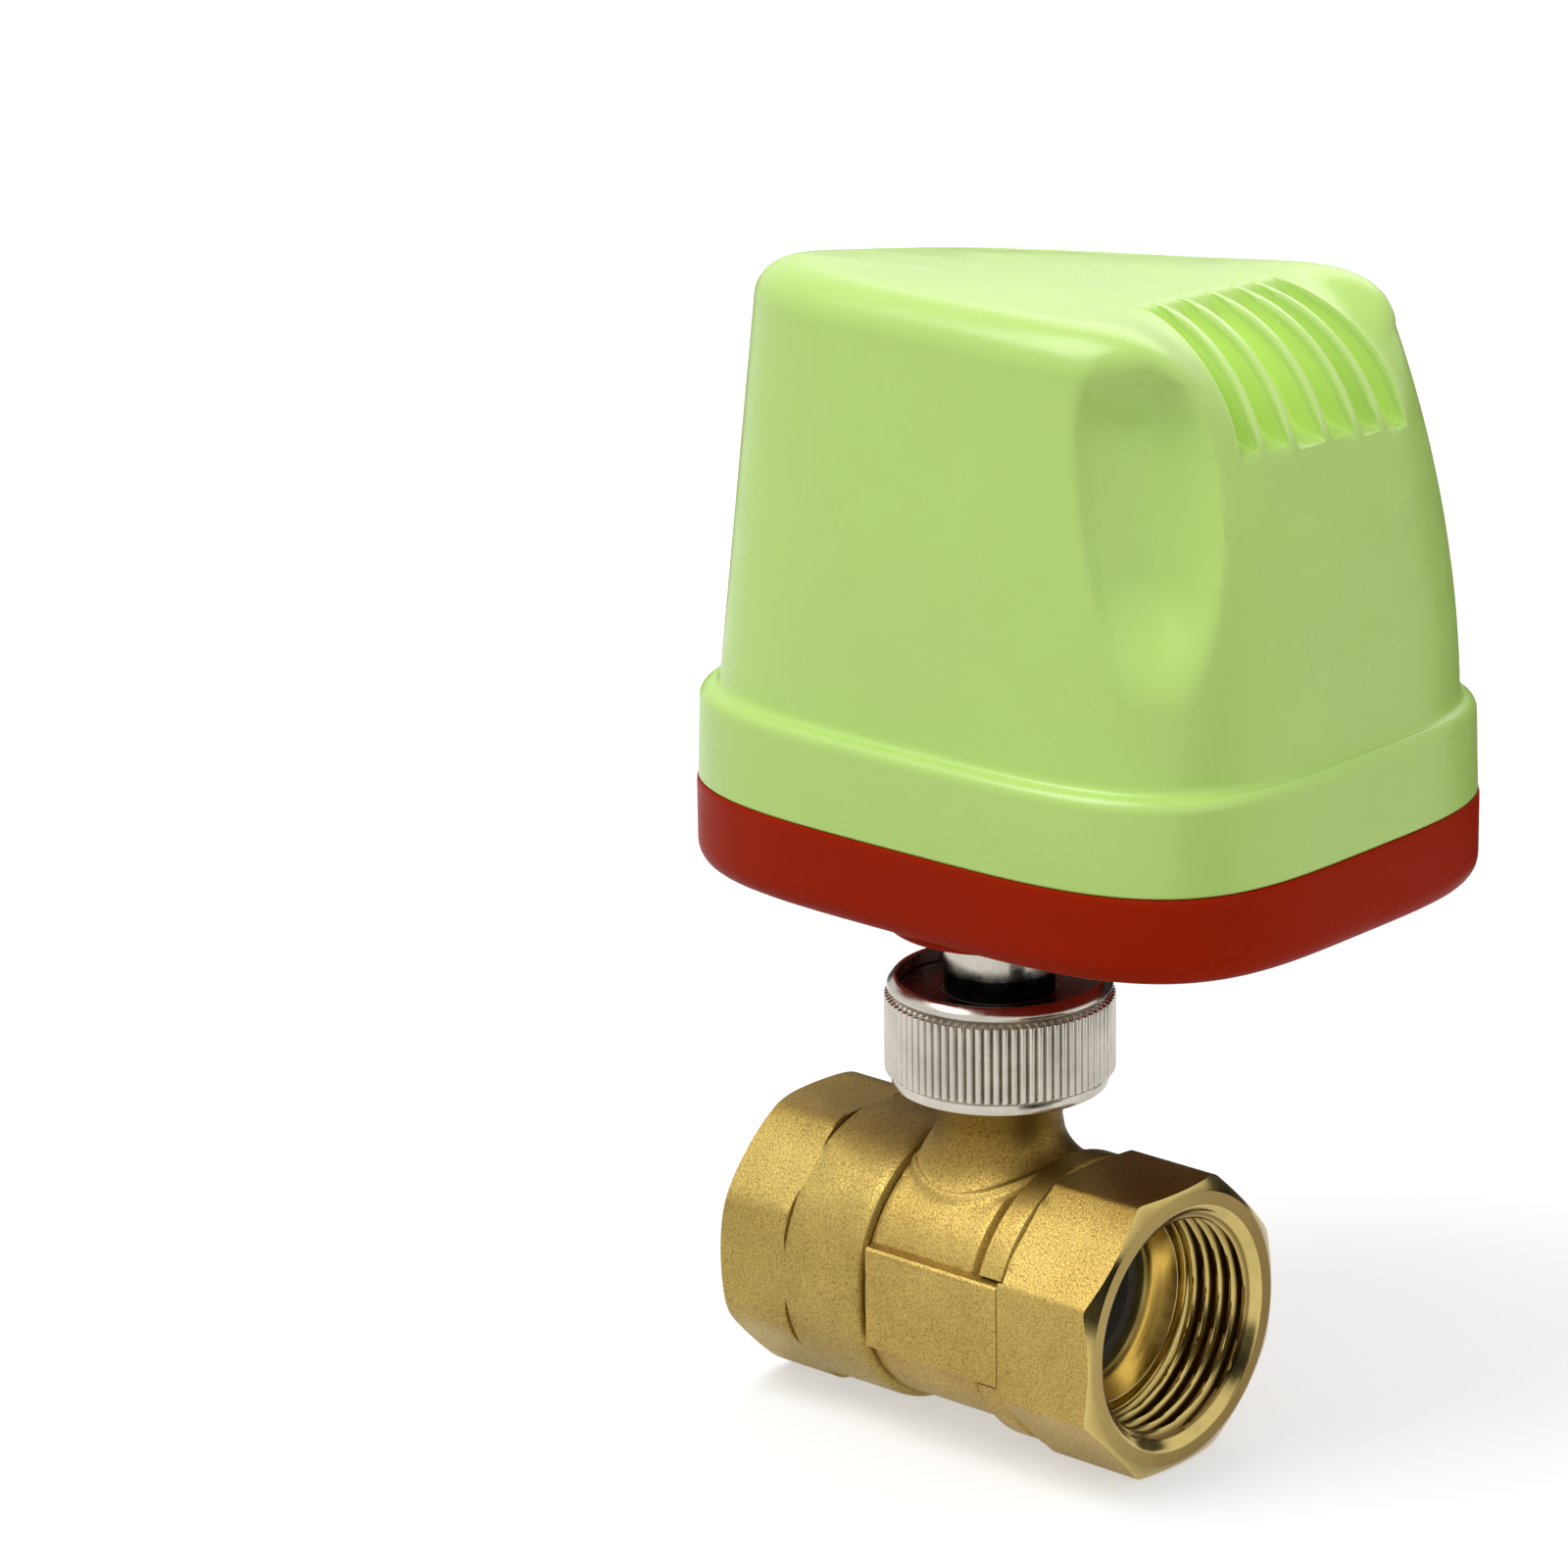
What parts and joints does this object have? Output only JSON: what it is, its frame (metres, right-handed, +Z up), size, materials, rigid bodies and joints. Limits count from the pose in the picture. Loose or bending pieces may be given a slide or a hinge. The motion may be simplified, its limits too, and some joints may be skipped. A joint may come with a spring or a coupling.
{
  "type": "motorized ball valve",
  "caption": "Two-way brass ball valve with threaded octagonal ends, driven by a plug-on gear motor under a rounded green cover on a red base, held by a knurled nut.",
  "frame": {"origin": "centre of the ball, where the pipe axis and the stem axis meet", "axes": "+X along the pipe out of the front port, +Y to the back, +Z up the stem towards the actuator"},
  "size_m": [0.0792, 0.066, 0.1287],
  "materials": {
    "brass": "turned and blasted brass",
    "cap_brass": "turned and blasted brass",
    "ball_plating": "dark polished plating",
    "seat": "carbon-filled seat material",
    "seal": "moulded rubber",
    "washer": "slippery white plastic",
    "steel": "bright zinc-plated steel",
    "nickel": "satin nickel plating on brass",
    "red_housing": "satin moulded plastic, dark red",
    "green_cover": "satin moulded plastic, lime green",
    "gear_plastic": "natural moulded plastic",
    "bronze": "sintered bronze",
    "pinion_brass": "cut brass",
    "motor_steel": "drawn steel can",
    "plate_steel": "stamped zinc-plated plate",
    "switch_plastic": "dark moulded plastic",
    "plunger_red": "red moulded plastic",
    "board": "green laminate",
    "terminal_blue": "blue moulded plastic",
    "capacitor_skin": "yellow film sleeve",
    "black_plastic": "black moulded plastic"
  },
  "bodies": {
    "valve": {"valve_body": "brass", "end_cap": "cap_brass", "seat_ring_port": "seat", "seat_ring_cap": "seat", "cap_seal": "seal", "thrust_washer": "washer", "retaining_ring": "steel", "coupling_gasket": "seal", "adapter_sleeve": "nickel", "sleeve_circlip": "steel", "base_housing": "red_housing", "cover": "green_cover", "cover_gasket": "seal", "cover_screws": "steel", "shaft_bush": "bronze", "idler_axle": "steel", "gear_motor": "motor_steel", "motor_screws": "steel", "gear_plate": "plate_steel", "plate_pillars": "plate_steel", "plate_screws": "steel", "limit_switch_closed": "switch_plastic", "limit_switch_open": "switch_plastic", "switch_screws": "steel", "circuit_board": "board", "terminal_block": "terminal_blue", "capacitor": "capacitor_skin", "cable_gland": "black_plastic", "gland_locknut": "black_plastic"},
    "drive_line": {"ball": "ball_plating", "valve_stem": "pinion_brass", "stem_orings": "seal", "output_shaft": "steel", "output_gear": "gear_plastic", "limit_cams": "gear_plastic"},
    "idler": {"idler_gear": "gear_plastic"},
    "motor_rotor": {"motor_pinion": "pinion_brass"},
    "nut": {"coupling_nut": "nickel"},
    "plunger_closed": {"plunger_closed": "plunger_red"},
    "plunger_open": {"plunger_open": "plunger_red"}
  },
  "joints": [
    {"name": "valve_turn", "type": "hinge", "parent": "valve", "child": "drive_line", "pos_m": [0, 0, 0], "axis": [0, 0, 1], "range_deg": [0, 90]},
    {"name": "idler_turn", "type": "hinge", "parent": "valve", "child": "idler", "pos_m": [0, 0.024, 0.05], "axis": [0, 0, 1], "range_deg": [-361, 1]},
    {"name": "motor_turn", "type": "hinge", "parent": "valve", "child": "motor_rotor", "pos_m": [-0.0144, 0.024, 0.055], "axis": [0, 0, 1], "range_deg": [-1, 721]},
    {"name": "coupling_nut_turn", "type": "hinge", "parent": "valve", "child": "nut", "pos_m": [0, 0, 0.029], "axis": [0, 0, 1], "range_deg": [0, 360]},
    {"name": "plunger_closed_press", "type": "slide", "parent": "valve", "child": "plunger_closed", "axis": [1, 0, 0], "range_m": [0, 0.0008], "stiffness_N_per_m": 300, "springref_m": -0.001},
    {"name": "plunger_open_press", "type": "slide", "parent": "valve", "child": "plunger_open", "axis": [1, 0, 0], "range_m": [0, 0.0008], "stiffness_N_per_m": 300, "springref_m": -0.001}
  ],
  "couplings": [
    {"joint": "idler_turn", "follows": "valve_turn", "ratio": -4},
    {"joint": "motor_turn", "follows": "valve_turn", "ratio": 8}
  ]
}
